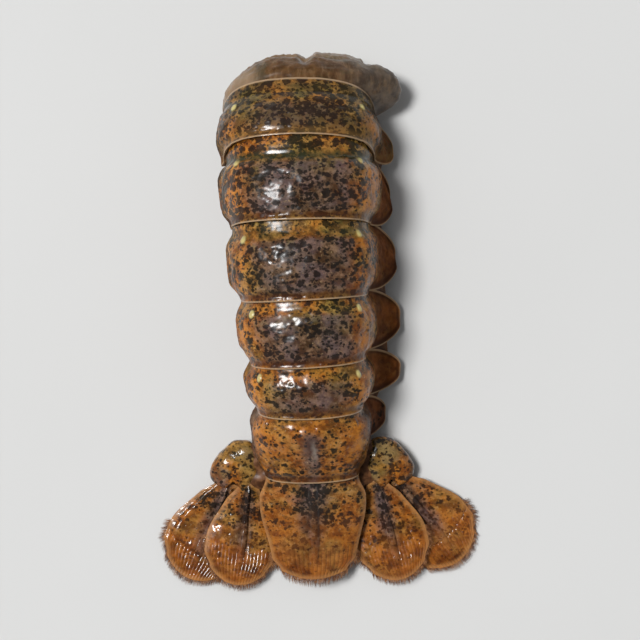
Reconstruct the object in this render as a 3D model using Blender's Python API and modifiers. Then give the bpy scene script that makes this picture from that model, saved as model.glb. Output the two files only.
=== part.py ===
"""A raw cold water lobster tail, twisted off the body and lying on its belly.

Six shell rings are hinged one behind the other round a single core of meat. Each ring slides its smooth
front collar under the rim of the ring ahead, carries a side flap below each hinge, and is closed across
the belly by a thin bar. Behind the last ring lie the tail fan's middle plate and, on each side, a stubby
base with an inner and an outer blade. Leaf-like swimmerets are folded under the belly.

The front, where the meat shows, points along +Y. Up is +Z, and the table is at Z = 0.
"""

import math
from typing import NamedTuple

import bmesh
import bpy
from mathutils import Matrix, Vector

MM = 0.001

# Where the front hinge of the first ring lies, so that the whole is centred on the origin.
FRONT_HINGE = Vector((-5.8, 55.0, 8.6)) * MM

# The shell
SHELL_THICKNESS = 1.1 * MM
ARCH_SHARE = 0.66  # share of a ring's half outline that is the arched back; the rest is the side flap
SHOULDER = 0.13  # how much squarer than an ellipse the arch is
STEP_RUN = 3.2 * MM  # length over which the plate rises from its collar
BULGE = 1.0 * MM  # how far a plate swells between its two ends
RIM_BOW = 1.2 * MM  # how far the middle of a rear rim reaches behind its hinges
LAP = 1.2 * MM  # how far a ring reaches ahead of its hinges at the sides
SWEEP = 0.06  # how far a flap leans backwards, as a share of its length
FLAP_TIP = 0.12  # width left at a flap's tip, as a share of its root
RING_CELLS = (28, 8)  # faces across and along a ring

# The bar that closes each ring across the belly
BAR_RADIUS = 1.0 * MM
BAR_DEPTH = 4.8 * MM  # how far down the flaps the bar starts
BAR_BITE = 0.55 * MM  # how deep its ends stay inside the shell's wall

# The meat
MEAT_MARGIN = 4.7 * MM  # below the plates' outer face, inside the rings
MEAT_BELLY = 2.6 * MM  # depth below the hinge level
MEAT_SIDES = 24
STATIONS_PER_RING = 3

# The tail fan
BLADE_THICKNESS = 1.5 * MM
EDGE_THINNING = 0.45  # thickness left at a blade's edge, as a share
PLATE_LENGTH = 27.5 * MM
PLATE_START = 0.8 * MM  # the middle plate starts under the last rim
PLATE_ROOT_Z = 14.2 * MM
PLATE_END_Z = 6.5 * MM
PLATE_CROWN = (4.4 * MM, 1.2 * MM)  # how far its sides hang below its middle, front and rear
ROOT_RISE = 4.0 * MM  # the blades climb this much towards their base
RISE_RUN = 18 * MM
BASE_SIZE = Vector((6.6, 5.3, 4.0)) * MM  # half sizes of the stubby base
BASE_PLACE = Vector((21.0, 3.0, 4.9)) * MM
FAN_CELLS = (8, 9)

# The swimmerets
LEAF_SIZE = Vector((2.7, 6.6, 0.65)) * MM  # half sizes of one leaf
STEM_SIZE = Vector((2.0, 2.2, 1.3)) * MM
STEM_DROP = 2.9 * MM  # below the bar's middle
RINGS_WITH_SWIMMERETS = (2, 3, 4, 5)


class Ring(NamedTuple):
    """One shell ring, with its sizes in millimetres and its angles in degrees."""

    widths: tuple  # across the hinges, at the front and at the rear rim
    heights: tuple  # from the hinges to the top of the back, front and rear
    length: float  # from the front hinges to the rear hinges
    collar: float  # the front band that slides under the ring ahead
    step: float  # how far the collar lies below the rim that covers it
    flap: float  # side flap, from hinge to tip
    notch: float  # how far the rear rim steps forward at the hinge
    flares: tuple  # how far the left and the right flap bend outwards on their way down
    pitch: float  # how far the front dips
    yaw: float  # how far the rear swings to the right


RINGS = (
    Ring((43.5, 44.5), (18.5, 20.5), 12.5, 4.5, 0.6, 9.0, 0.8, (-35, 60), 21.0, 0.5),
    Ring((44.0, 41.0), (21.0, 21.0), 18.4, 7.0, 1.9, 13.6, 0.8, (-46, 42), 7.5, 1.5),
    Ring((41.0, 38.0), (20.5, 19.5), 18.8, 6.5, 1.9, 15.0, 0.8, (-52, 56), 0.0, 3.2),
    Ring((38.0, 35.0), (19.0, 18.0), 16.6, 6.0, 1.9, 14.4, 0.8, (-48, 76), -5.0, 3.4),
    Ring((35.0, 32.5), (17.5, 16.0), 12.9, 5.5, 1.9, 13.6, 0.8, (-44, 90), -10.0, 2.4),
    Ring((32.5, 29.5), (15.5, 9.5), 19.0, 5.0, 1.9, 10.0, 8.0, (-38, 72), -14.0, 1.4),
)


class Blade(NamedTuple):
    """One blade of the tail fan, with its sizes in millimetres and its angles in degrees."""

    root: tuple  # its start, sideways from the middle and behind the last hinge
    length: float
    width: float
    level: float  # height of its flat part above the table
    spread_right: float  # how far it swings out
    spread_left: float


BLADES = {
    "inner": Blade((17.6, 3.6), 29.0, 20.0, 3.1, 14.0, 9.0),
    "outer": Blade((23.4, 3.4), 29.5, 22.0, 0.95, 36.0, 24.0),
}


def smooth(start, end, value):
    """0 below start, 1 above end, and an even ease between them."""
    share = min(max((value - start) / (end - start), 0.0), 1.0)
    return share * share * (3 - 2 * share)


def mix(pair, share):
    """The value a share of the way from the first of a pair to the second."""
    return pair[0] + (pair[1] - pair[0]) * share


def ring_places():
    """The place of each ring: its front hinge line, turned by its pitch and yaw."""
    places = []
    hinge = FRONT_HINGE.copy()
    for ring in RINGS:
        turn = Matrix.Rotation(math.radians(ring.yaw), 4, "Z") @ Matrix.Rotation(
            math.radians(-ring.pitch), 4, "X"
        )
        place = Matrix.Translation(hinge) @ turn
        places.append(place)
        hinge = place @ Vector((0, -ring.length * MM, 0))
    return places, hinge


def ring_point(number, across, along):
    """A point of a ring's outer face, in the ring's own frame.

    across runs from the left flap's tip (-1) over the back (0) to the right flap's tip (1), and along
    from the front edge (0) to the rear rim (1).
    """
    ring = RINGS[number - 1]
    side = -1 if across < 0 else 1
    arch = min(abs(across) / ARCH_SHARE, 1.0)
    flap = max((abs(across) - ARCH_SHARE) / (1 - ARCH_SHARE), 0.0)
    down = math.sin(math.pi / 2 * flap)
    length, notch = ring.length * MM, ring.notch * MM

    plate_front = -RIM_BOW * (1 - arch**2)
    front = mix((ring.collar * MM, LAP), arch**2.4)
    rear = -length + plate_front + notch * smooth(0.72, 1.0, arch)
    if flap > 0:
        half = (LAP + length - notch) / 2
        lobe = FLAP_TIP + (1 - FLAP_TIP) * math.sqrt(max(1 - down**2.2, 0.0))
        middle = LAP - half - SWEEP * ring.flap * MM * down
        front = middle + half * lobe
        rear = middle - half * lobe
        plate_front = front - LAP
    y = front + along * (rear - front)

    behind = plate_front - y
    share = min(max(-y / length, 0.0), 1.0)
    lift = ring.step * MM * (smooth(0.0, STEP_RUN, behind) - 1)
    lift += BULGE * 4 * share * (1 - share) * (1 - flap)
    half_width = mix(ring.widths, share) * MM / 2
    height = mix(ring.heights, share) * MM
    lift -= max(y, 0.0) ** 2 / (2 * height)

    if flap == 0:
        turn = math.pi / 2 * arch
        sine, cosine = math.sin(turn), math.cos(turn)
        x = (half_width + lift) * sine * (1 + SHOULDER * cosine**2)
        z = (height + lift) * cosine * (1 + SHOULDER * sine**2)
    else:
        flare = math.radians(ring.flares[side > 0])
        radius = ring.flap * MM / flare
        bend = flare * down
        x = half_width + radius * (1 - math.cos(bend)) + lift * math.cos(bend)
        z = -radius * math.sin(bend) + lift * math.sin(bend)
    return Vector((side * x, y, z))


def fan_rise(behind):
    """How much higher than their flat part the blades lie, this far behind the last hinge."""
    return ROOT_RISE * max(1 - behind / RISE_RUN, 0.0) ** 2


def plate_point(across, along):
    """A point of the fan's middle plate, in the fan's frame."""
    behind = PLATE_START + along * (PLATE_LENGTH + 2.5 * MM * (1 - across**2))
    run = min(max((behind - PLATE_START) / PLATE_LENGTH, 0.0), 1.0)
    half = mix((12.8, 14.7), smooth(0.05, 0.25, along)) - 3.2 * smooth(0.3, 0.95, along)
    half -= 2.4 * smooth(0.86, 1.0, along)
    crown = mix(PLATE_CROWN, along) * across**2
    z = mix((PLATE_END_Z, PLATE_ROOT_Z), (1 - run) ** 1.2) - crown
    return Vector((half * MM * across, -behind, z))


def blade_point(blade, side, across, along):
    """A point of a blade of the fan, in the fan's frame. across runs outwards from the body."""
    spread = math.radians(blade.spread_right if side > 0 else blade.spread_left)
    half = blade.width / 2 * mix((0.46, 1.0), smooth(0.0, 0.62, along))
    half *= 1 - 0.24 * smooth(0.78, 1.0, along)
    reach = blade.length * along * (1 - 0.13 * across**2 * along)
    out = blade.root[0] + reach * math.sin(spread) + across * half * math.cos(spread)
    behind = blade.root[1] + reach * math.cos(spread) - across * half * math.sin(spread)
    z = blade.level * MM + fan_rise(behind * MM) + 0.3 * MM * (1 - across**2)
    return Vector((side * out * MM, -behind * MM, z))


def station_margin(number, share):
    """How far below the plates the meat lies at a share of a ring's length."""
    if number == 1:
        return mix((2.6 * MM, MEAT_MARGIN), smooth(0.1, 0.4, share))
    return MEAT_MARGIN


def meat_loop(number, y, margin, belly, angle):
    """A point of the meat's outline in a ring's frame: an arch above the hinges and a flat belly below."""
    ring = RINGS[number - 1]
    share = min(max(-y / (ring.length * MM), 0.0), 1.0)
    half_width = mix(ring.widths, share) * MM / 2 - margin
    height = mix(ring.heights, share) * MM - margin
    sine, cosine = math.sin(angle), math.cos(angle)
    if sine >= 0:
        return Vector((half_width * cosine * (1 + SHOULDER * sine**2), y, height * sine))
    squarish = math.copysign(abs(cosine) ** 0.7, cosine)
    return Vector((half_width * squarish, y, -belly * abs(sine) ** 0.7))


# The knob of meat that stands out of the first ring: how far ahead of its rim, margin and belly depth
KNOB = (
    (13.0, 12.0, 3.4),
    (11.8, 7.8, 5.0),
    (9.6, 4.4, 5.8),
    (6.8, 1.9, 6.0),
    (4.2, 0.5, 5.8),
    (2.0, 0.4, 5.0),
    (0.5, 2.3, 4.0),
)
KNOB_TIP = 13.6 * MM
KNOB_LUMP = 0.9 * MM
KNOB_BULGE = 8.0 * MM  # how far the knob hangs out to the right
REAR_CAP = ((0.9, 5.0), (0.97, 7.5))  # share of the last ring's length, and margin


def rim_ahead(angle):
    """How far the first ring's front edge lies ahead of its hinges, at an angle round the meat."""
    up = max(math.sin(angle), 0.0)
    arch = 1 - math.asin(up) * 2 / math.pi
    below = max(-math.sin(angle), 0.0)
    return mix((RINGS[0].collar * MM, LAP), arch**2.4) - 1.4 * MM * below


def meat_stations():
    """Each cross-section of the meat, front to rear: ring, y in its frame, margin, belly depth and how far out it is."""
    stations = [(1, 0.0, margin * MM, belly * MM, out * MM) for out, margin, belly in KNOB]
    for number, ring in enumerate(RINGS, start=1):
        for step in range(STATIONS_PER_RING):
            share = (step + 0.5) / STATIONS_PER_RING
            if number == len(RINGS):
                share *= 0.86
            y = -share * ring.length * MM
            stations.append((number, y, station_margin(number, share), MEAT_BELLY, 0.0))
    for share, margin in REAR_CAP:
        y = -share * RINGS[-1].length * MM
        stations.append((len(RINGS), y, margin * MM, MEAT_BELLY * 0.6, 0.0))
    return stations


def meat_point(places, stations, index, angle):
    """A point of the meat's surface in the world, resting on the table where it reaches it."""
    number, y, margin, belly, out = stations[index]
    point = meat_loop(number, y, margin, belly, angle)
    if out > 0:
        point.y = rim_ahead(angle) + out
        swell = smooth(0.5 * MM, 4.0 * MM, out)
        fade = 1 - smooth(6 * MM, KNOB_TIP, out)
        right = math.cos(max(angle, 0.0) - 0.3) ** 2 * max(math.cos(angle), 0.0) ** 0.4
        point.x += swell * fade * KNOB_BULGE * right
        point.x += swell * KNOB_LUMP * math.sin(3 * angle + 1.0)
        point.z += swell * KNOB_LUMP * math.cos(2 * angle + 0.6)
    point = places[number - 1] @ point
    point.z = max(point.z, 0.0)
    return point


def material(name, colour, roughness):
    """A plain finish for one sub-part."""
    made = bpy.data.materials.new(name)
    made.use_nodes = True
    shader = made.node_tree.nodes["Principled BSDF"]
    shader.inputs["Base Color"].default_value = (*colour, 1.0)
    shader.inputs["Roughness"].default_value = roughness
    shader.inputs["Metallic"].default_value = 0.0
    return made


def mesh_object(name, build, collection, finish=None, place=None):
    """A new object whose mesh is made by build(bm), at a place that is kept as its location and rotation."""
    bm = bmesh.new()
    build(bm)
    mesh = bpy.data.meshes.new(name)
    bm.to_mesh(mesh)
    bm.free()
    made = bpy.data.objects.new(name, mesh)
    collection.objects.link(made)
    if place is not None:
        made.matrix_world = place
    if finish:
        mesh.materials.append(finish)
        mesh.shade_smooth()
    return made


def grid_builder(cells, point_at, ease=1.0):
    """Builds an open sheet: a plain grid whose points are moved to point_at(across, along)."""

    def build(bm):
        bmesh.ops.create_grid(bm, x_segments=cells[0], y_segments=cells[1], size=1.0)
        for vertex in bm.verts:
            across = min(max(vertex.co.x, -1.0), 1.0)
            along = min(max((1 - vertex.co.y) / 2, 0.0), 1.0) ** ease
            vertex.co = point_at(across, along)

    return build


def add_wall(made, thickness, offset, thin_edges=False):
    """Gives an open sheet its wall."""
    wall = made.modifiers.new("wall", "SOLIDIFY")
    wall.thickness = thickness
    wall.offset = offset
    if thin_edges:
        group = made.vertex_groups.new(name="body")
        rim = {v for e in made.data.edges if edge_is_open(made.data, e) for v in e.vertices}
        for vertex in made.data.vertices:
            weight = EDGE_THINNING if vertex.index in rim else 1.0
            group.add([vertex.index], weight, "REPLACE")
        wall.vertex_group = group.name
        wall.thickness_vertex_group = 0.0


def edge_is_open(mesh, edge):
    """True if both ends of an edge lie on the border of a sheet."""
    return all(abs(abs(value) - 1) < 1e-6 for value in border_value(mesh, edge))


def border_value(mesh, edge):
    """The stored border flag of each end of an edge: 1 on the border of the sheet."""
    flags = mesh.attributes["border"].data
    return [flags[index].value for index in edge.vertices]


def mark_border(made, cells):
    """Stores which points lie on the border of a grid, before a wall is added."""
    flags = made.data.attributes.new("border", "FLOAT", "POINT")
    columns = cells[0] + 1
    for index in range(len(made.data.vertices)):
        row, column = divmod(index, columns)
        on_border = row in (0, cells[1]) or column in (0, cells[0])
        flags.data[index].value = 1.0 if on_border else 0.0


def add_rings(places, parts, helpers, finish):
    """The six shell rings, each joined to its belly bar."""
    for number, place in enumerate(places, start=1):
        made = mesh_object(
            f"ring_{number}",
            grid_builder(
                RING_CELLS, lambda a, b, n=number: ring_point(n, a, b), ease=1.25
            ),
            parts,
            finish,
            place,
        )
        add_wall(made, SHELL_THICKNESS, -1.0)
        bar = add_bar(number, place, helpers)
        join = made.modifiers.new("belly_bar", "BOOLEAN")
        join.operation = "UNION"
        join.object = bar
        join.solver = "EXACT"


def bar_ends(number):
    """The two ends of a ring's belly bar, just inside the wall of its flaps."""
    flap = math.asin(BAR_DEPTH / (RINGS[number - 1].flap * MM)) * 2 / math.pi
    across = ARCH_SHARE + flap * (1 - ARCH_SHARE)
    left, right = (ring_point(number, side * across, 0.5) for side in (-1, 1))
    inwards = Vector((BAR_BITE, 0, 0))
    return left + inwards, right - inwards


def add_bar(number, place, helpers):
    """The bar across the belly: a thin rod from flap to flap."""
    left, right = bar_ends(number)
    run = right - left
    turn = run.to_track_quat("Z", "Y").to_matrix().to_4x4()

    def build(bm):
        bmesh.ops.create_cone(
            bm,
            cap_ends=True,
            segments=8,
            radius1=BAR_RADIUS,
            radius2=BAR_RADIUS,
            depth=run.length,
            matrix=Matrix.Translation((left + right) / 2) @ turn,
        )

    bar = mesh_object(f"bar_{number}", build, helpers, place=place)
    bar.hide_render = True
    bar.display_type = "WIRE"
    return bar


def add_meat(places, parts, finish):
    """One core of meat: a closed ball of rows and columns, drawn out through all the rings."""
    stations = meat_stations()
    first, last = stations[0], stations[-1]
    tip = places[0] @ Vector((1.5 * MM, KNOB_TIP + 3.0 * MM, RINGS[0].heights[0] * MM * 0.2))
    tail_end = places[-1] @ Vector((0, last[1] - 0.6 * MM, 1.0 * MM))
    rows = len(stations) + 1

    def build(bm):
        bmesh.ops.create_uvsphere(bm, u_segments=MEAT_SIDES, v_segments=rows, radius=1.0)
        for vertex in bm.verts:
            row = round((0.5 - math.asin(max(min(vertex.co.z, 1.0), -1.0)) / math.pi) * rows)
            if row == 0:
                vertex.co = tip
            elif row == rows:
                vertex.co = tail_end
            else:
                angle = math.atan2(vertex.co.y, vertex.co.x)
                vertex.co = meat_point(places, stations, row - 1, angle)
        bmesh.ops.reverse_faces(bm, faces=bm.faces)

    assert first[0] == 1
    return mesh_object("meat", build, parts, finish)


def fan_place(hinge):
    """The fan's frame: on the table below the last hinge, turned with the last ring."""
    turn = Matrix.Rotation(math.radians(RINGS[-1].yaw), 4, "Z")
    return Matrix.Translation((hinge.x, hinge.y, 0)) @ turn


def add_fan(place, parts, plate_finish, blade_finish):
    """The middle plate, and on each side a stubby base with its two blades."""
    plate = mesh_object(
        "fan_plate", grid_builder(FAN_CELLS, plate_point), parts, plate_finish, place
    )
    mark_border(plate, FAN_CELLS)
    add_wall(plate, BLADE_THICKNESS, 0.0, thin_edges=True)
    for side, word in ((-1, "left"), (1, "right")):
        for kind, blade in BLADES.items():
            made = mesh_object(
                f"fan_{kind}_{word}",
                grid_builder(
                    FAN_CELLS,
                    lambda a, b, k=blade, s=side: blade_point(k, s, s * a, b),
                ),
                parts,
                blade_finish,
                place,
            )
            mark_border(made, FAN_CELLS)
            add_wall(made, BLADE_THICKNESS, 0.0, thin_edges=True)
        add_fan_base(word, side, place, parts, blade_finish)


def add_fan_base(word, side, place, parts, finish):
    """The stubby base between the last ring and the two blades: a squashed ball, fuller towards the blades."""

    def build(bm):
        bmesh.ops.create_uvsphere(bm, u_segments=12, v_segments=8, radius=1.0)
        for vertex in bm.verts:
            x, y, z = vertex.co
            fuller = 1 - 0.18 * y
            vertex.co = Vector(
                (
                    side * BASE_PLACE.x + BASE_SIZE.x * x * fuller - side * 1.4 * MM * y,
                    BASE_PLACE.y + BASE_SIZE.y * y,
                    max(BASE_PLACE.z + BASE_SIZE.z * z * fuller - 0.8 * MM * z * z, 0.0),
                )
            )

    mesh_object(f"fan_base_{word}", build, parts, finish, place)


def add_swimmerets(places, parts, helpers, finish):
    """A folded pair of leaves on a short stem, at each side of the belly of four rings."""
    for number in RINGS_WITH_SWIMMERETS:
        left, right = bar_ends(number)
        for side, word in ((-1, "left"), (1, "right")):
            size = RINGS[number - 1].widths[1] / RINGS[1].widths[1]
            root = Vector((side * 0.45 * right.x, left.y - 0.8 * MM, left.z - STEM_DROP))
            made = mesh_object(
                f"swimmeret_{number}_{word}",
                ball_builder(root, STEM_SIZE * size, 0.0),
                parts,
                finish,
                places[number - 1],
            )
            for leaf, (turn, shift) in enumerate(((-16, -2.3), (12, 1.9))):
                centre = root + Vector(
                    (side * shift * MM * size, -LEAF_SIZE.y * size * 0.86, -0.35 * MM)
                )
                helper = mesh_object(
                    f"leaf_{number}_{word}_{leaf}",
                    ball_builder(centre, LEAF_SIZE * size, math.radians(side * -turn)),
                    helpers,
                    place=places[number - 1],
                )
                helper.hide_render = True
                helper.display_type = "WIRE"
                join = made.modifiers.new(f"leaf_{leaf}", "BOOLEAN")
                join.operation = "UNION"
                join.object = helper
                join.solver = "EXACT"


def ball_builder(centre, size, turn):
    """Builds a squashed ball of half sizes size, turned about the vertical."""

    def build(bm):
        place = Matrix.Translation(centre) @ Matrix.Rotation(turn, 4, "Z")
        shape = place @ Matrix.Diagonal((*size, 1.0))
        bmesh.ops.create_uvsphere(bm, u_segments=8, v_segments=5, radius=1.0, matrix=shape)

    return build


def main():
    for old in list(bpy.data.objects):
        bpy.data.objects.remove(old)
    parts = bpy.data.collections.new("lobster_tail")
    helpers = bpy.data.collections.new("helpers")
    for collection in (parts, helpers):
        bpy.context.scene.collection.children.link(collection)

    shell = material("speckled_shell", (0.17, 0.09, 0.045), 0.28)
    orange = material("orange_shell", (0.42, 0.16, 0.04), 0.3)
    flesh = material("raw_meat", (0.46, 0.36, 0.29), 0.35)
    leaf = material("swimmeret_skin", (0.36, 0.16, 0.07), 0.4)

    places, last_hinge = ring_places()
    add_meat(places, parts, flesh)
    add_rings(places, parts, helpers, shell)
    add_fan(fan_place(last_hinge), parts, shell, orange)
    add_swimmerets(places, parts, helpers, leaf)


main()
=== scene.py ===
import math
from functools import partial
from typing import NamedTuple

import bmesh
import bpy
from mathutils import Matrix, Vector
from mathutils.kdtree import KDTree


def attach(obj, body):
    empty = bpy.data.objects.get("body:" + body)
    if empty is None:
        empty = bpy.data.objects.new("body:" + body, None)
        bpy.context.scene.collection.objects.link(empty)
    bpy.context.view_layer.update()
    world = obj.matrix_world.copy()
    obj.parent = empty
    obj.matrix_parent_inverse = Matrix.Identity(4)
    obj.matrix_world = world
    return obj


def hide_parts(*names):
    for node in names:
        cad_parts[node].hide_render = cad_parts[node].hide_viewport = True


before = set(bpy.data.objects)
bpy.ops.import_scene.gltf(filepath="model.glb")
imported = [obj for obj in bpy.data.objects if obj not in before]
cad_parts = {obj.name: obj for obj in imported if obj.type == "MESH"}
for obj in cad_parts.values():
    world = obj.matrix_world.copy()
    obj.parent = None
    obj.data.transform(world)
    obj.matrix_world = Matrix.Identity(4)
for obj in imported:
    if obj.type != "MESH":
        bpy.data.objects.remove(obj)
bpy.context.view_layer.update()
MM = 0.001


# The table, the camera and the studio light.
# A plain pale table top, seen straight from above with a long lens, the cut front of the tail at the top.
# A soft sun stands to the upper left in a wide glow, under a dome that is dim overhead, over the wet back.
CAMERA_HEIGHT, LENS = 0.60, 120
SUN_POWER, SUN_WIDTH, SUN_WAY = 2.8, math.radians(15), Vector((0.46, -0.17, -1.0)).normalized()
DOME_TINT, DOME_POWER, GLOW_POWER = (0.95, 0.97, 1.0, 1.0), (0.03, 0.27), 2.4
TABLE_REACH, TABLE_TINTS = 3.0, ((0.60, 0.597, 0.585), (0.64, 0.637, 0.625))


class Wire:
    """An output of a node. Python sums on it add Math nodes to the same tree."""

    def __init__(self, nodes, socket):
        self.nodes, self.socket = nodes, socket

    def also(self, name):
        """Another output of the same node."""
        return Wire(self.nodes, self.socket.node.outputs[name])

    def sum(self, operation, *parts):
        return self.nodes.add("ShaderNodeMath", {"operation": operation}, dict(enumerate(parts)))

    def __rsub__(self, other):
        return self.sum("SUBTRACT", other, self)

    def __neg__(self):
        return self * -1.0

    def root(self):
        return self.sum("SQRT", self.most(0.0))

    def held(self):
        """Kept between 0 and 1."""
        return self.most(0.0).least(1.0)

    def eased(self, start, end):
        """0 below start, 1 above end, and an even ease between them."""
        share = ((self - start) / (end - start)).held()
        return share * share * (3.0 - 2.0 * share)

    def hump(self, middle, width):
        """1 at the middle, falling to 0 at a width to either side."""
        return 1.0 - (self - middle).size().eased(0.0, width)

    def between(self, low, high):
        """Low where this is 0, and high where it is 1."""
        return low + (high - low) * self


# The operators and methods of a wire that are one Math node each.
MATHS = {"ADD": "__add__ __radd__", "SUBTRACT": "__sub__", "MULTIPLY": "__mul__ __rmul__"}
MATHS.update({"DIVIDE": "__truediv__", "POWER": "__pow__", "SINE": "sine", "COSINE": "cosine"})
MATHS.update({"ABSOLUTE": "size", "GREATER_THAN": "above", "MINIMUM": "least", "MAXIMUM": "most"})
for operation, names in MATHS.items():
    for name in names.split():
        setattr(Wire, name, lambda wire, *others, kind=operation: wire.sum(kind, wire, *others))


class Nodes:
    """The nodes of one tree, and the place that its patterns are read at."""

    def __init__(self, tree, source="ShaderNodeTexCoord", out="Object"):
        self.tree = tree
        self.place = self.add(source).also(out)

    def add(self, kind, settings=None, sockets=None, out=0):
        """A new node: its settings first, then the value or the wire of each socket."""
        node = self.tree.nodes.new(kind)
        for name, value in (settings or {}).items():
            setattr(node, name, value)
        for key, value in (sockets or {}).items():
            if isinstance(value, Wire):
                self.tree.links.new(value.socket, node.inputs[key])
            else:
                node.inputs[key].default_value = value
        return Wire(self, node.outputs[out])

    def split(self):
        """The x, y and z of the place."""
        spot = self.add("ShaderNodeSeparateXYZ", None, {0: self.place})
        return spot, spot.also("Y"), spot.also("Z")

    def moved(self, seed, place=None):
        """A place moved by so many metres, for another part of a pattern."""
        seed = seed if isinstance(seed, Wire) else (seed, seed, seed)
        return self.add("ShaderNodeVectorMath", {"operation": "ADD"}, {0: place or self.place, 1: seed})

    def scaled(self, *factors):
        """The place with each of its three numbers multiplied, which stretches a pattern."""
        return self.add("ShaderNodeVectorMath", {"operation": "MULTIPLY"}, {0: self.place, 1: factors})

    def grain(self, scale, detail=3.0, roughness=0.55, seed=0.0, place=None):
        """Noise between about 0.25 and 0.75 at so many grains to the metre."""
        sockets = {"Scale": scale, "Detail": detail, "Roughness": roughness}
        return self.add("ShaderNodeTexNoise", None, {"Vector": self.moved(seed, place), **sockets})

    def cells(self, scale, seed=0.0, place=None):
        """The distance to the nearest of scattered points, so many to the metre, in cells."""
        return self.add("ShaderNodeTexVoronoi", None, {"Vector": self.moved(seed, place), "Scale": scale})

    def blend(self, share, low, high):
        """A colour between two others."""
        low, high = ((*c, 1.0) if isinstance(c, tuple) else c for c in (low, high))
        return self.add("ShaderNodeMix", {"data_type": "RGBA"}, {0: share, 6: low, 7: high}, 2)

    def coated(self, colour, *coats):
        """A colour under coats of others, one after the other, each given as its share and its colour."""
        for share, tint in coats:
            colour = self.blend(share, colour, tint)
        return colour


class Finish(Nodes):
    """A new material: its nodes, and its shader with the sockets that are the same all over set."""

    def __init__(self, name, constants):
        self.coat = bpy.data.materials.new(name)
        self.coat.use_nodes = True
        super().__init__(self.coat.node_tree)
        self.shader = self.tree.nodes["Principled BSDF"]
        for socket, value in constants.items():
            self.shader.inputs[socket].default_value = value

    def paint(self, colour, roughness=None, wet=None, skin=None, strength=0.35, depth=0.12):
        """Feeds the shader a colour, a roughness, a coat of water, and bumps so many millimetres deep."""
        if skin is not None:
            sockets = {"Strength": strength, "Distance": depth * MM, "Height": skin}
            skin = self.add("ShaderNodeBump", None, sockets)
        fed = {"Base Color": colour, "Roughness": roughness, "Coat Weight": wet, "Normal": skin}
        for socket, wire in fed.items():
            if wire is not None:
                self.tree.links.new(wire.socket, self.shader.inputs[socket])


def put(name, data):
    """A new object in the scene."""
    made = bpy.data.objects.new(name, data)
    bpy.context.scene.collection.objects.link(made)
    return made


def drawn(name, bm):
    """A mesh of what a bmesh holds."""
    mesh = bpy.data.meshes.new(name)
    bm.to_mesh(mesh)
    bm.free()
    return mesh


table = Finish("table_top", {"Roughness": 0.6})
table.paint(table.blend(table.grain(9.0), *TABLE_TINTS))
bm = bmesh.new()
bmesh.ops.create_grid(bm, x_segments=8, y_segments=8, size=TABLE_REACH)
table_top = put("table_top", drawn("table_top", bm))
table_top.data.materials.append(table.coat)

camera = put("camera", bpy.data.cameras.new("camera"))
camera.location = (0, 0, CAMERA_HEIGHT)
camera.data.lens, camera.data.clip_start = LENS, 0.01
bpy.context.scene.camera = camera

sun = put("key_light", bpy.data.lights.new("key_light", "SUN"))
sun.data.energy, sun.data.angle = SUN_POWER, SUN_WIDTH
sun.rotation_euler = SUN_WAY.to_track_quat("-Z", "Y").to_euler()

studio = bpy.data.worlds.new("studio")
bpy.context.scene.world = studio
studio.use_nodes = True
sky = Nodes(studio.node_tree, out="Generated")
height = sky.split()[2]
sockets = {0: sky.place, 1: -SUN_WAY}
toward = sky.add("ShaderNodeVectorMath", {"operation": "DOT_PRODUCT"}, sockets, "Value")
power = height.eased(1.0, 0.70).between(*DOME_POWER) + toward.eased(0.93, 1.0) * GLOW_POWER
dome = studio.node_tree.nodes["Background"]
dome.inputs["Color"].default_value = DOME_TINT
studio.node_tree.links.new(power.socket, dome.inputs["Strength"])
bpy.context.scene.view_settings.view_transform = "Standard"


# The shell rings.
# Six hoops of thin, hard, wet shell, hinged one behind the other. Each slides its smooth front collar
# under the thick rolled rim of the ring ahead, and carries a rounded side flap below each hinge.
FRONT_HINGE = Vector((-5.8, 55.0, 8.6)) * MM
ARCH_SHARE, SHOULDER = 0.66, 0.13  # how much of a face is arch and not flaps, and how square it is
STEP_RUN, BULGE, RIM_BOW, LAP = 3.2 * MM, 1.0 * MM, 1.2 * MM, 1.2 * MM
SWEEP, FLAP_TIP, FLAP_ROUND, COLLAR_ROUND = 0.06, 0.12, 2.2, 2.4
REAR_PINCH, FRONT_PINCH = 1.7, 0.5  # how far the shoulders draw in at each rim, in millimetres
SHELL_THICKNESS, SHELL_SINK = 1.1 * MM, 0.3
COLUMNS, ROWS = 250, 80  # the points of a face
KNOB_ACROSS, KNOB_BEHIND = (0.345, 0.032), (1.9, 1.6)  # a hinge knob's middle and its reach
SIDES = ((-1, "left"), (1, "right"))

# The named inputs of a ring's tree.
LENGTHS = ("Front Width", "Rear Width", "Front Height", "Rear Height", "Length")
LENGTHS += ("Collar", "Step", "Flap", "Notch")
FLARES = ("Left Flare", "Right Flare")
# How much orange shows between the speckles, how close they stand, how purple-brown the back is, and how
# deep the furrow behind the collar is.
LOOKS = ("Warmth", "Crowd", "Haze", "Furrow")


class Ring(NamedTuple):
    """One shell ring, with its sizes in millimetres and its angles in degrees."""

    widths: tuple
    heights: tuple
    length: float
    collar: float
    step: float
    flap: float
    notch: float
    flares: tuple
    pitch: float
    yaw: float
    looks: tuple


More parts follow.
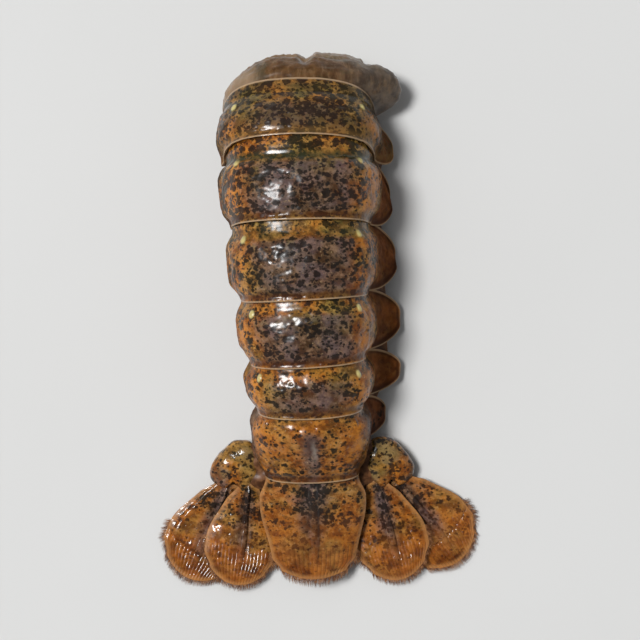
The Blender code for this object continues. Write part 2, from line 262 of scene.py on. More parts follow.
RINGS = (
    Ring((43.5, 44.5), (18.5, 20.5), 12.5, 4.5, 0.4, 9.0, 0.8, (-35, 60), 21, 0.5, (0.26, 0.88, 0.55, 0.0)),
    Ring((44.0, 41.0), (21.0, 21.0), 18.4, 7.0, 1.6, 13.6, 0.8, (-46, 42), 7.5, 1.5, (0.38, 0.72, 0.85, 1.0)),
    Ring((41.0, 38.0), (20.5, 19.5), 18.8, 6.5, 1.45, 15.0, 0.8, (-52, 56), 0, 3.2, (0.38, 0.66, 0.90, 0.4)),
    Ring((38.0, 35.0), (19.0, 18.0), 16.6, 6.0, 1.4, 14.4, 0.8, (-48, 76), -5, 3.4, (0.42, 0.60, 0.90, 0.1)),
    Ring((35.0, 32.5), (17.5, 16.0), 12.9, 5.5, 1.4, 13.6, 0.8, (-44, 90), -10, 2.4, (0.50, 0.54, 0.70, 0.1)),
    Ring((32.5, 29.5), (15.5, 9.5), 19.0, 5.0, 1.4, 10.0, 8.0, (-38, 72), -14, 1.4, (0.95, 0.36, 0.25, 0.1)),
)


def ring_places():
    """The place of each ring: its front hinge line, turned by its pitch and yaw."""
    places = []
    hinge = FRONT_HINGE.copy()
    for ring in RINGS:
        yaw = Matrix.Rotation(math.radians(ring.yaw), 4, "Z")
        pitch = Matrix.Rotation(math.radians(-ring.pitch), 4, "X")
        places.append(Matrix.Translation(hinge) @ (yaw @ pitch))
        hinge = places[-1] @ Vector((0, -ring.length * MM, 0))
    return places, hinge


class Shape(Nodes):
    """A new Geometry Nodes tree: its nodes, and its named inputs as size["Name"]."""

    def __init__(self, name, numbers=(), **others):
        tree = bpy.data.node_groups.new(name, "GeometryNodeTree")
        super().__init__(tree, "GeometryNodeInputPosition", "Position")
        tree.interface.new_socket("Geometry", in_out="OUTPUT", socket_type="NodeSocketGeometry")
        kinds = {**others, **dict.fromkeys(numbers, "Float"), "Finish": "Material"}
        for label, kind in kinds.items():
            tree.interface.new_socket(label, in_out="INPUT", socket_type="NodeSocket" + kind)
        inlet = tree.nodes.new("NodeGroupInput")
        self.size = {label: Wire(self, inlet.outputs[label]) for label in kinds}

    def vector(self, x, y, z):
        return self.add("ShaderNodeCombineXYZ", None, {0: x, 1: y, 2: z})

    def keep(self, shape, **values):
        """Stores values at each point of a shape, for later nodes and the material to read."""
        for name, value in values.items():
            sockets = {"Geometry": shape, "Name": name, "Value": value}
            shape = self.add("GeometryNodeStoreNamedAttribute", {"data_type": "FLOAT"}, sockets)
        return shape

    def stored(self, *names, kind="FLOAT"):
        """Values stored on the mesh."""
        settings = {"data_type": kind}
        return [self.add("GeometryNodeInputNamedAttribute", settings, {"Name": name}) for name in names]

    def uneven(self, height, scale, detail, seed=0.0):
        """Waves so many to the metre, about half the given height from low to high."""
        return (self.grain(scale, detail, seed=seed) - 0.5) * height

    def pits(self, depth, scale, width, seed):
        """Scattered pits, so many to the metre."""
        return (1.0 - self.cells(scale, seed).eased(0.05, width)) * -depth

    def move(self, shape, **sockets):
        """Moves the points of a shape."""
        return self.add("GeometryNodeSetPosition", None, {"Geometry": shape, **sockets})

    def raised(self, shape, relief):
        """A shape with a relief of so many millimetres along its normals."""
        sockets = {0: self.add("GeometryNodeInputNormal"), "Scale": relief * MM}
        return self.move(shape, Offset=self.add("ShaderNodeVectorMath", {"operation": "SCALE"}, sockets))

    def end(self, shape):
        """Ends the tree with real geometry that carries its finish."""
        shape = self.add("GeometryNodeRealizeInstances", None, {"Geometry": shape})
        sockets = {"Geometry": shape, "Material": self.size["Finish"]}
        shape = self.add("GeometryNodeSetMaterial", None, sockets)
        self.tree.links.new(shape.socket, self.tree.nodes.new("NodeGroupOutput").inputs[0])
        return self.tree


def settled(made):
    """Makes an object's modifiers part of its mesh."""
    graph = bpy.context.evaluated_depsgraph_get()
    mesh = bpy.data.meshes.new_from_object(made.evaluated_get(graph))
    made.modifiers.clear()
    made.vertex_groups.clear()
    made.data = mesh
    return made


def taken(made):
    """The finished mesh of a helper object, which goes."""
    mesh = settled(made).data
    bpy.data.objects.remove(made)
    return mesh


def grown(tree, finish, sizes, start=None, place=None):
    """The plain mesh that a tree makes with the given sizes, in its finish and put in its place."""
    base = put("grown", start or bpy.data.meshes.new("grown"))
    modifier = base.modifiers.new("grown", "NODES")
    modifier.node_group = tree
    sizes = {**sizes, "Finish": finish.coat}
    for item in tree.interface.items_tree:
        if item.in_out == "INPUT" and item.name in sizes:
            modifier[item.identifier] = sizes[item.name]
    mesh = taken(base)
    mesh.transform(place or Matrix())
    return mesh


def knob_share(across, behind):
    """1 on top of the small hinge knob at each shoulder of a ring, just behind its collar."""
    return across.size().hump(*KNOB_ACROSS) * behind.hump(*KNOB_BEHIND)


def ring_tree():
    """A shell ring's outer face, in the ring's frame: the arched back, the two flaps and their relief."""
    nodes = Shape("shell_ring", (*LENGTHS, *FLARES, *LOOKS, "Keel", "Seed"), Columns="Int", Rows="Int")
    size = nodes.size
    sockets = {"Size X": 2.0, "Size Y": 2.0, "Vertices X": size["Columns"], "Vertices Y": size["Rows"]}
    sheet = nodes.add("GeometryNodeMeshGrid", None, sockets)
    across, ahead, _ = nodes.split()
    along = ((1.0 - ahead) / 2.0).held()
    side = across.above(0.0) * 2.0 - 1.0
    far = across.size()
    arch = (far / ARCH_SHARE).least(1.0)
    flap = ((far - ARCH_SHARE) / (1 - ARCH_SHARE)).held()
    on_flap = far.above(ARCH_SHARE)
    down = (flap * (math.pi / 2)).sine()
    length, notch = size["Length"], size["Notch"]

    half = (length - notch + LAP) / 2.0
    lobe = (1.0 - down**FLAP_ROUND).root() * (1 - FLAP_TIP) + FLAP_TIP
    middle = LAP - half - size["Flap"] * down * SWEEP
    plate_front = on_flap.between((arch * arch - 1.0) * RIM_BOW, middle + half * lobe - LAP)
    front = on_flap.between((arch**COLLAR_ROUND).between(size["Collar"], LAP), middle + half * lobe)
    rear = on_flap.between(plate_front - length + notch * arch.eased(0.72, 1.0), middle - half * lobe)
    y = along.between(front, rear)

    behind = plate_front - y
    share = (-y / length).held()
    width = share.between(size["Front Width"], size["Rear Width"]) / 2.0
    height = share.between(size["Front Height"], size["Rear Height"])
    lift = size["Step"] * (behind.eased(0.0, 1.5 * STEP_RUN) - 1.0)
    lift = lift + 4 * BULGE * share * (1.0 - share) * (1.0 - flap)
    lift = lift - y.most(0.0) ** 2.0 / (2.0 * height)

    turn = arch * (math.pi / 2)
    sine, cosine = turn.sine(), turn.cosine()
    pinch = (1.0 - (y - rear).eased(0.0, 4.5 * MM)) * REAR_PINCH
    pinch = pinch + (1.0 - behind.eased(-1.0 * MM, 3.0 * MM)) * FRONT_PINCH
    arch_x = (width + lift - pinch * MM * sine**6.0) * sine * (1.0 + SHOULDER * cosine * cosine)
    arch_z = (height + lift) * cosine * (1.0 + SHOULDER * sine * sine)
    flare = across.above(0.0).between(size["Left Flare"], size["Right Flare"])
    bend = flare * down
    reach = size["Flap"] / flare
    hang = width - pinch * MM * (1.0 - flap.eased(0.0, 0.4))
    flap_x = hang + reach * (1.0 - bend.cosine()) + lift * bend.cosine()
    flap_z = (lift - reach) * bend.sine()
    rim, lead = (y - rear) / MM, (front - y) / MM  # millimetres to the rear and to the front edge
    border = rim.least(lead).least((1.0 - down) * size["Flap"] / MM)
    looks = {look.lower(): size[look] for look in (*LOOKS, "Keel")}
    edges = {"rim": rim, "lead": lead, "border": border, "behind": behind / MM}
    sheet = nodes.keep(sheet, across=across, flap=flap, **edges, **looks)
    spot = nodes.vector(side * on_flap.between(arch_x, flap_x), y, on_flap.between(arch_z, flap_z))
    shape = nodes.move(sheet, Position=spot)

    across, behind, rim, border, flap = nodes.stored("across", "behind", "rim", "border", "flap")
    seed = size["Seed"]
    rough = nodes.uneven(1.5, 85.0, 2.0, seed) * rim.eased(0.0, 4.0) + nodes.uneven(0.42, 340.0, 3.0, seed)
    rough = rough + nodes.pits(0.15, 430.0, 0.36, seed) + nodes.uneven(0.17, 880.0, 2.0, seed)
    relief = behind.eased(-0.6, 2.4).between(0.3, 1.0) * rough  # the collar is smoother than the plate
    relief = relief + 0.55 * knob_share(across, behind)
    relief = relief + 0.10 * rim.hump(0.4, 0.6) - 0.12 * rim.hump(1.7, 1.1)
    relief = relief - 0.35 * behind.hump(0.6, 1.6) * size["Furrow"]
    keel = across.hump(0.0, 0.07) - across.size().hump(0.11, 0.05) * 0.5
    relief = relief + keel * size["Keel"] * 0.5 * behind.eased(3.0, 6.0) * rim.eased(2.0, 6.0)
    relief = relief * flap.above(0.0).between(1.0, border.eased(-0.2, 2.5))
    return nodes.end(nodes.raised(shape, relief))


def walled(name, mesh, thickness, offset, thin=0.5, run=2.0, bevel=0.22):
    """An object with a wall of the given thickness, thinner within so many millimetres of its border."""
    made = put(name, mesh)
    body = made.vertex_groups.new(name="body")
    for index, spot in enumerate(mesh.attributes["border"].data):
        share = min(max(spot.value / run, 0.0), 1.0)
        body.add([index], thin + (1 - thin) * math.sin(share * math.pi / 2), "REPLACE")
    wall = made.modifiers.new("wall", "SOLIDIFY")
    wall.thickness, wall.offset, wall.vertex_group = thickness, offset, body.name
    edges = made.modifiers.new("edges", "BEVEL")
    edges.width, edges.segments, edges.limit_method = bevel * MM, 2, "ANGLE"
    edges.angle_limit = math.radians(50)
    mesh.shade_smooth()
    return made


def grounded(made):
    """Flattens what would reach below the table top, which the piece rests on."""
    for vertex in made.data.vertices:
        vertex.co.z = max(vertex.co.z, 0.02 * MM)
    return made


def fitted(piece, slot, *nodes):
    """Rides a finished piece on the part's one body, in place of the solids that it stands for."""
    if nodes:
        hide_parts(*nodes)
    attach(piece, "root")


# Wet shell: ochre and orange at the sides, purple-brown over the back, under scattered black-olive dots.
# Where there are two colours, the first is the one in the darker patches.
OCHRE = (0.120, 0.058, 0.012), (0.40, 0.215, 0.052)
AMBER = (0.185, 0.050, 0.006), (0.47, 0.168, 0.020)
HAZE = (0.038, 0.020, 0.012), (0.195, 0.120, 0.080)
BLOT = (0.070, 0.030, 0.008), (0.040, 0.024, 0.016)  # at the sides, and on the back
INK = (0.0070, 0.0075, 0.0025), (0.0150, 0.0075, 0.0040)
FLAP_BROWN = (0.075, 0.020, 0.005), (0.185, 0.056, 0.013)
RIM_SHADE_AND_BAND = (0.052, 0.016, 0.006), (0.27, 0.135, 0.036)  # painted shade on the rear margin of the other rings, and a paler band on the first
LILAC, BACK_INK, FLECK = (0.120, 0.092, 0.100), (0.0120, 0.0085, 0.0080), (0.46, 0.32, 0.16)
# The large and the small dots: how many to the metre, their reach where they are few and where they are
# crowded, how much it varies, and a seed.
DOTS = ((510.0, -0.26, 0.37, 0.46, 0.4), (980.0, -0.20, 0.28, 0.44, 2.6))


def marks(nodes, *names):
    """Values stored on the mesh, in a material."""
    return [nodes.add("ShaderNodeAttribute", {"attribute_name": name}).also("Fac") for name in names]


def lit_through(weight, green, blue, depth):
    """The sockets of a skin that lets light in, red to a depth in millimetres and the rest less deep."""
    colours = {"Subsurface Radius": (1.0, green, blue), "Subsurface Scale": depth * MM}
    return {"Subsurface Weight": weight, **colours}


def speckled(nodes, warmth, back, density):
    """The mottled colour of the shell, and where its dark speckles are.

    warmth runs from ochre (0) to orange (1), back is 1 where the purple-brown haze of the back lies, and
    density runs from few speckles (0) to crowded (1).
    """
    wide = nodes.scaled(0.86, 1.04, 0.9)
    drift, cluster = nodes.grain(105.0, 2.0, 0.55, 3.1, wide), nodes.grain(190.0, 2.0, 0.55, 5.9, wide)
    patch, mottle = nodes.grain(380.0, 4.0, 0.64, 7.7, wide), nodes.grain(640.0, 4.0, 0.70, 2.2, wide)
    fleck, ragged = nodes.grain(1250.0, 3.0, 0.65, 1.9), nodes.grain(1250.0, 3.0, 0.65, 4.4, wide) - 0.5
    ochre, amber = nodes.blend(patch.eased(0.38, 0.62), *OCHRE), nodes.blend(patch.eased(0.36, 0.62), *AMBER)
    haze = nodes.blend(patch.eased(0.40, 0.68), *HAZE)
    haze = nodes.blend(nodes.grain(140.0, 2.0, seed=6.6).eased(0.40, 0.58) * 0.65, haze, LILAC)
    veil = (back * 1.15 + (drift - 0.5) + (patch - 0.5) * 1.3).eased(0.15, 0.95)
    blot = (mottle + (density - 0.5) * 0.12).eased(0.50, 0.61) * back.between(0.62, 0.42)
    base = nodes.coated(
        nodes.blend((drift.eased(0.40, 0.60) + warmth - 0.5).held(), ochre, amber),
        (veil * 0.88, haze),
        (fleck.eased(0.60, 0.72) * 0.5, FLECK),
        (blot, nodes.blend(back, *BLOT)),
    )
    dark = fleck.eased(0.44, 0.34) * 0.35
    for scale, few, crowded, spread, seed in DOTS:
        dots = nodes.cells(scale, seed, wide)
        pick = nodes.add("ShaderNodeSeparateColor", None, {0: dots.also("Color")})
        reach = density.between(few, crowded) + pick * spread + (mottle - 0.5) * 0.6 + (cluster - 0.5) * 1.1
        dark = dark.most((1.0 - (dots + ragged * 1.2 - reach).eased(-0.12, 0.10)) * 0.96)
    ink = nodes.coated(nodes.blend(drift.eased(0.42, 0.58), *INK), (back * 0.8, BACK_INK))
    return nodes.blend(dark * 0.95, base, ink), dark


water = {"Specular IOR Level": 0.05, "Coat Roughness": 0.18, "Coat IOR": 1.38}
shell = Finish("wet_shell", {**water, **lit_through(0.06, 0.35, 0.15, 0.8)})
across, behind, rim, lead, border = marks(shell, "across", "behind", "rim", "lead", "border")
warmth, crowd, haze, furrow, sixth = marks(shell, "warmth", "crowd", "haze", "furrow", "keel")
far = across.size()
flank, first = far.eased(0.62, 0.74), 1.0 - furrow.eased(0.0, 0.08)
back = (1.0 - far.eased(0.12, 0.42)) * behind.eased(0.5, 4.0) * rim.eased(0.3, 3.0) * haze
# The last ring is hazy along its middle and its sides.
stripe = far.hump(0.0, 0.13) * behind.eased(2.0, 5.0) * 0.6
back = back.most(sixth * stripe.most(far.eased(0.36, 0.54) * 0.75))
glow = across.hump(0.41, 0.20) * behind.eased(1.0, 4.0)  # a plainer amber patch on the right
bare = glow * 0.45 * shell.grain(90.0, 2.0).eased(0.35, 0.55)
density = (crowd - flank * 0.3 - back * 0.06 - bare).held()
orange = (warmth + glow * 0.55 + across.hump(-0.45, 0.24) * 0.7).held()
colour, dark = speckled(shell, orange, back, density)
olive = shell.grain(190.0, 3.0, seed=9.3).eased(0.50, 0.62) * (1.0 - warmth) * (1.0 - flank) * (1.0 - dark)
line = across + (shell.grain(260.0, 3.0, seed=2.9) - 0.5) * 0.09
knob = knob_share(across, behind) * (1.0 - sixth)
specks = shell.cells(600.0, 8.8).eased(0.50, 0.36) * rim.hump(3.2, 4.4)
corner = shell.cells(430.0, 3.7).eased(0.56, 0.40) * rim.hump(4.0, 6.5) * far.hump(0.42, 0.20)
flame = far.hump(0.42, 0.17) * shell.grain(150.0, 2.0, seed=1.2).eased(0.48, 0.60) * (1.0 - dark)
smoke = far.hump(0.42, 0.20) * rim.hump(2.0, 7.0) * sixth
dull = first * (1.0 - dark) * shell.grain(210.0, 3.0, seed=4.9).eased(0.36, 0.58).between(0.12, 0.62)
# Painted shade: a dark red-brown band just ahead of the rear rim of each ring after the first, where the
# margin curves away from the light. The first ring has a paler ochre band there instead.
edge = rim.hump(1.3, 1.6) * first.between(0.75, 0.25) + first * rim.hump(2.4, 2.6) * 0.30 * (1.0 - dark)
# Painted highlight: a pale line along the rear and front edges of each ring, where they catch the light, and
# a thin pale edge round the flaps.
rim_highlight_and_pale_edge = (1.0 - rim.eased(0.15, 0.55)).most(1.0 - lead.eased(0.3, 0.8))
rim_highlight_and_pale_edge = rim_highlight_and_pale_edge.most(flank * (1.0 - border.eased(0.1, 0.5)) * 0.6)
colour = shell.coated(
    colour,
    (olive * behind.hump(0.0, 9.0) * 0.5, (0.145, 0.150, 0.030)),
    (flank * 0.86, shell.blend(shell.grain(240.0, seed=5.5).eased(0.35, 0.65), *FLAP_BROWN)),
    (far.hump(0.62, 0.12) * 0.30, (0.055, 0.018, 0.005)),  # a dark line above the flaps: painted shade where the back curves down away from the light
    (flank * border.hump(0.9, 0.7) * 0.6, (0.022, 0.008, 0.004)),  # and a dark line round them
    # the last ring's dark groove, with a painted highlight along its ridge, and its black specks
    (line.hump(0.0, 0.12) * sixth * behind.hump(6.5, 6.0) * 0.75, (0.034, 0.023, 0.022)),
    # painted highlight: a pale line along the crest of the middle ridge
    (line.hump(0.015, 0.030) * sixth * behind.hump(8.5, 4.5) * 0.65, (0.33, 0.27, 0.22)),
    (specks.most(corner) * sixth * 0.92, (0.010, 0.007, 0.004)),
    (knob.eased(0.05, 0.6) * 0.9, (0.60, 0.50, 0.20)),
    (flame * behind.eased(1.0, 4.0) * 0.7, (0.60, 0.215, 0.022)),  # clear orange patches low on the sides
    (smoke * shell.grain(300.0, 3.0, seed=7.1).eased(0.30, 0.50) * 0.85, (0.026, 0.015, 0.013)),
    (dull, (0.078, 0.055, 0.020)),  # the first ring is more olive than the others
    # painted shade on the rear margins of the rings, and the first ring's paler band
    (edge, shell.blend(first, *RIM_SHADE_AND_BAND)),
    (rim_highlight_and_pale_edge * 0.75, (0.46, 0.31, 0.18)),  # painted highlight on the thin edges of the rims, and the thin pale edge of the flaps
    (behind.hump(0.8, 2.2) * furrow * 0.75 * (1.0 - flank), (0.026, 0.030, 0.010)),  # the green-black furrow
)
rough = shell.grain(500.0, 3.0, seed=8.1).eased(0.35, 0.7).between(0.24, 0.42) + far.eased(0.40, 0.64) * 0.3
wet = shell.grain(60.0, 2.0, seed=6.1).eased(0.35, 0.6).between(0.5, 0.95) * (1.0 - far.eased(0.38, 0.60))
skin = shell.grain(1500.0, 3.0, 0.6) * 0.5 + shell.cells(900.0).eased(0.0, 0.4) * 0.5 - dark * 0.15
shell.paint(colour, rough, wet, skin)

places, last_hinge = ring_places()
ring_face = ring_tree()
faces = []  # the outer face of each ring, as a mesh
for number, (ring, place) in enumerate(zip(RINGS, places), start=1):
    step = ring.step - SHELL_SINK
    lengths = (*ring.widths, *ring.heights, ring.length, ring.collar, step, ring.flap, ring.notch)
    sizes = {name: value * MM for name, value in zip(LENGTHS, lengths)}
    sizes.update(zip(FLARES, map(math.radians, ring.flares)))
    sizes.update(zip(LOOKS, ring.looks))
    sizes.update({"Columns": COLUMNS, "Rows": ROWS, "Seed": 0.13 * number})
    sizes["Keel"] = float(number == len(RINGS))
    faces.append(grown(ring_face, shell, sizes, place=place))
    made = walled(f"shell_ring_{number}", faces[-1], SHELL_THICKNESS, -1.0)
    fitted(grounded(settled(made)), "shell", f"ring_{number}")


# The skin between the rings.
# Thin brown skin bridges each joint at the sides, where the rims of two rings part above their flaps. It
# grows out of the inner face of the ring ahead and of the front edge of the ring behind.
STRIP_ENDS = ((17, 2.0), (70, 1.6))  # a row of the face of each ring, and how far under it, in millimetres
STRIP_STEPS, STRIP_SAG, SKIN_THICKNESS = 8, 2.0, 0.35 * MM
STRIP_COLUMNS = (range(18, 64), range(186, 232))


def skin_strip(ahead, behind, columns):
    """A sagging strip from inside the rear of one ring to inside the front of the next."""
    bm = bmesh.new()
    rows = []
    for step in range(STRIP_STEPS + 1):
        share = step / STRIP_STEPS
        row = []
        for column in columns:
            ends = []
            for mesh, (line, depth) in zip((ahead, behind), STRIP_ENDS):
                index = column * ROWS + line
                inwards = mesh.vertex_normals[index].vector * depth * MM
                ends.append(mesh.vertices[index].co - inwards)
            sag = mesh.vertex_normals[index].vector * STRIP_SAG * MM * share * (1 - share)
            row.append(bm.verts.new(ends[0].lerp(ends[1], share) - sag))
        rows.append(row)
    for upper, lower in zip(rows, rows[1:]):
        for quad in zip(upper, upper[1:], lower[1:], lower):
            bm.faces.new(quad)
    return drawn("skin_strip", bm)


def joined(name, meshes):
    """One object of several meshes, each already in its place and of one material."""
    coats = []
    bm = bmesh.new()
    for mesh in meshes:
        coat = next(coat for coat in mesh.materials if coat)
        coats += [] if coat in coats else [coat]
        done = len(bm.faces)
        bm.from_mesh(mesh)
        bm.faces.ensure_lookup_table()
        for face in bm.faces[done:]:
            face.material_index = coats.index(coat)
    made = put(name, drawn(name, bm))
    for coat in coats:
        made.data.materials.append(coat)
    made.data.shade_smooth()
    return made


joint = Finish("joint_skin", {"Specular IOR Level": 0.15, "Coat Roughness": 0.25, "Coat IOR": 1.38})
patch = joint.grain(520.0, 4.0)
colour = joint.blend(patch.eased(0.35, 0.65), (0.060, 0.022, 0.008), (0.17, 0.070, 0.026))
joint.paint(colour, patch.between(0.35, 0.6), patch.between(0.0, 0.35))

strips = []
for ahead, behind in zip(faces, faces[1:]):
    for columns in STRIP_COLUMNS:
        strips.append(skin_strip(ahead, behind, columns))
        strips[-1].materials.append(joint.coat)
skins = joined("joint_skins", strips)
wall = skins.modifiers.new("wall", "SOLIDIFY")
wall.thickness, wall.offset = SKIN_THICKNESS, 0.0
fitted(settled(skins), "shell")


# The belly bars.
# A thin curved rod of shell crosses the belly of each ring from flap to flap, with a small blunt spine
# in its middle. It grows out of the inner face of the flaps at its ends.
BAR_DEPTH, BAR_BITE, BAR_RADIUS, BAR_BOW, SPINE = 4.8 * MM, 0.55 * MM, 1.0 * MM, 0.4 * MM, 0.35
BAR_POINTS, BAR_SIDES = 90, 14


def smooth(start, end, value):
    """0 below start, 1 above end, and an even ease between them."""
    share = min(max((value - start) / (end - start), 0.0), 1.0)
    return share * share * (3 - 2 * share)


def mix(pair, share):
    """The value a share of the way from the first of a pair to the second."""
    return pair[0] + (pair[1] - pair[0]) * share


def bar_ends(ring):
    """The two ends of a ring's bar in its frame, just inside the wall of its flaps."""
    down = BAR_DEPTH / (ring.flap * MM)
    lobe = FLAP_TIP + (1 - FLAP_TIP) * math.sqrt(1 - down**FLAP_ROUND)
    half = (ring.length * MM - ring.notch * MM + LAP) / 2
    y = LAP - half - SWEEP * ring.flap * MM * down
    share = min(max(-y / (ring.length * MM), 0.0), 1.0)
    lift = ring.step * MM * (smooth(0.0, STEP_RUN, half * lobe - LAP) - 1)
    ends = []
    for side, flare in zip((-1, 1), map(math.radians, ring.flares)):
        radius, bend = ring.flap * MM / flare, flare * down
        x = mix(ring.widths, share) * MM / 2 + radius * (1 - math.cos(bend)) + lift * math.cos(bend)
        ends.append(Vector((side * (x - BAR_BITE), y, (lift - radius) * math.sin(bend))))
    return ends


def bar_tree():
    """A rod from start to end that bows down and backwards, fuller at its ends and at its middle spine."""
    nodes = Shape("belly_bar", ("Radius", "Bow", "Seed"), Start="Vector", End="Vector")
    size = nodes.size
    line = nodes.add("GeometryNodeCurvePrimitiveLine", None, {"Start": size["Start"], "End": size["End"]})
    line = nodes.add("GeometryNodeResampleCurve", None, {"Curve": line, "Count": BAR_POINTS})
    share = nodes.add("GeometryNodeSplineParameter")
    arc = share * (1.0 - share) * 4.0
    spine = share.hump(0.5, 0.035)
    bow = arc * size["Bow"]
    line = nodes.move(line, Offset=nodes.vector(0.0, bow * -0.6, -(bow + spine * SPINE * MM)))
    full = 0.78 + (1.0 - arc) ** 3.0 * 0.35 + spine * SPINE + nodes.uneven(0.5, 700.0, 2.0, size["Seed"])
    line = nodes.add("GeometryNodeSetCurveRadius", None, {"Curve": line, "Radius": full})
    sockets = {"Resolution": BAR_SIDES, "Radius": size["Radius"]}
    rim = nodes.add("GeometryNodeCurvePrimitiveCircle", None, sockets)
    rod = nodes.add("GeometryNodeCurveToMesh", None, {"Curve": line, "Profile Curve": rim, "Fill Caps": True})
    return nodes.end(rod)


bar = Finish("belly_bar_shell", {"Coat Roughness": 0.1})
patch, fleck = bar.grain(300.0, 4.0), bar.grain(1400.0, 2.0)
colour = bar.blend(patch.eased(0.35, 0.65), (0.30, 0.115, 0.030), (0.52, 0.33, 0.17))
colour = bar.blend(fleck.eased(0.58, 0.66) * 0.6, colour, (0.07, 0.03, 0.015))
bar.paint(colour, patch.between(0.25, 0.45), fleck.between(0.3, 0.8))

bar_rod = bar_tree()
bars = []
for number, (ring, place) in enumerate(zip(RINGS, places), start=1):
    left, right = bar_ends(ring)
    sizes = {"Start": left, "End": right, "Radius": BAR_RADIUS, "Bow": BAR_BOW, "Seed": 0.2 * number}
    bars.append(grown(bar_rod, bar, sizes, place=place))
fitted(joined("belly_bars", bars), "shell")


# The meat.
# One core of raw muscle through all the rings, held by nothing else. It stands out of the first ring as a
# cut knob in soft lobes that leans to the right, and shows as pale skin between the bars of the belly.
MEAT_MARGIN, MEAT_BELLY = 4.7 * MM, 2.6 * MM
MEAT_SIDES, STATIONS_PER_RING = 24, 3
# Each row of the cut knob: how far it stands ahead of the first ring's rim, how far it lies under the
# ring's face, and how deep its belly is, in millimetres.
KNOB = (
    (13.0, 12.0, 3.4),
    (11.8, 7.8, 5.0),
    (9.6, 4.4, 5.8),
    (6.8, 1.9, 6.0),
    (4.2, 0.5, 5.8),
    (2.0, 0.4, 5.0),
    (0.5, 1.3, 4.0),
)
KNOB_TIP, KNOB_LUMP, KNOB_BULGE, KNOB_REACH = 13.6 * MM, 0.9 * MM, 8.0 * MM, 2.6 * MM
REAR_CAP = ((0.9, 5.0), (0.97, 7.5))


def meat_stations():
    """Each cross-section, front to rear: ring, y in its frame, margin, belly depth and how far out it is."""
    stations = [(1, 0.0, margin * MM, belly * MM, out * MM) for out, margin, belly in KNOB]
    for number, ring in enumerate(RINGS, start=1):
        for step in range(STATIONS_PER_RING):
            share = (step + 0.5) / STATIONS_PER_RING * (0.86 if number == len(RINGS) else 1.0)
            ease = smooth(0.1, 0.45, share) if number == 1 else 1.0
            margin = mix((1.3 * MM, MEAT_MARGIN - 0.9 * MM), ease)
            stations.append((number, -share * ring.length * MM, margin, MEAT_BELLY, 0.0))
    for share, margin in REAR_CAP:
        y = -share * RINGS[-1].length * MM
        stations.append((len(RINGS), y, margin * MM, MEAT_BELLY * 0.6, 0.0))
    return stations


def meat_point(station, angle):
    """A point of the meat: an arch above the hinges, a flat belly below, and a knob that leans right."""
    number, y, margin, belly, out = station
    ring = RINGS[number - 1]
    share = min(max(-y / (ring.length * MM), 0.0), 1.0)
    half_width = mix(ring.widths, share) * MM / 2 - margin
    height = mix(ring.heights, share) * MM - margin
    sine, cosine = math.sin(angle), math.cos(angle)
    if sine >= 0:
        point = Vector((half_width * cosine * (1 + SHOULDER * sine**2), y, height * sine))
    else:
        squarish = math.copysign(abs(cosine) ** 0.7, cosine)
        point = Vector((half_width * squarish, y, -belly * abs(sine) ** 0.7))
    if out > 0:
        arch = 1 - math.asin(max(sine, 0.0)) * 2 / math.pi
        rim = mix((ring.collar * MM, LAP), arch**COLLAR_ROUND) - 1.4 * MM * max(-sine, 0.0)
        point.y = rim + out
        swell = smooth(0.5 * MM, 4.0 * MM, out)
        fade = 1 - smooth(7 * MM, KNOB_TIP, out)
        right = math.cos(max(angle, 0.0) - 0.3) ** 2 * max(cosine, 0.0) ** 0.4
        point.x += swell * fade * KNOB_BULGE * right + swell * KNOB_LUMP * math.sin(3 * angle + 1.0)
        point.y += KNOB_REACH * smooth(2 * MM, 8 * MM, out) * right
        point.z += swell * KNOB_LUMP * math.cos(2 * angle + 0.6)
    point = places[number - 1] @ point
    point.z = max(point.z, 0.0)
    return point


def capped(name, points, columns):
    """A closed mesh of a first point, rows of so many points each, and a last point."""
    last = len(points) - 1
    rows = [list(range(start, start + columns)) for start in range(1, last, columns)]
    rows = [[0] * columns, *rows, [last] * columns]
    faces = []
    for upper, lower in zip(rows, rows[1:]):
        for column in range(columns):
            corners = (lower[column], upper[column], upper[column - 1], lower[column - 1])
            faces.append(list(dict.fromkeys(corners)))
    mesh = bpy.data.meshes.new(name)
    mesh.from_pydata(points, [], faces)
    return mesh


def meat_cage():
    """The meat's rough cage through all the rings, which stores how far out and how high each point is."""
    stations = meat_stations()
    tip = places[0] @ Vector((1.5 * MM, KNOB_TIP + 3.0 * MM, RINGS[0].heights[0] * MM * 0.2))
    tail_end = places[-1] @ Vector((0, stations[-1][1] - 0.6 * MM, 1.0 * MM))
    angles = [math.pi * (2 * side / MEAT_SIDES - 1) for side in range(1, MEAT_SIDES + 1)]
    points, outs, ups = [tip], [KNOB_TIP / MM], [0.0]
    for station in stations:
        points += [meat_point(station, angle) for angle in angles]
        outs += [station[4] / MM] * MEAT_SIDES
        ups += map(math.sin, angles)
    mesh = capped("meat_cage", [*points, tail_end], MEAT_SIDES)
    mesh.flip_normals()
    for name, values in (("out", outs), ("up", ups)):
        mesh.attributes.new(name, "FLOAT", "POINT").data.foreach_set("value", [*values, 0.0])
    return mesh


def bundle_edges(nodes):
    """The way to the nearest edge between two bundles of fibres."""
    sockets = {"Vector": nodes.place, "Scale": 360.0}
    return nodes.add("ShaderNodeTexVoronoi", {"feature": "DISTANCE_TO_EDGE"}, sockets)


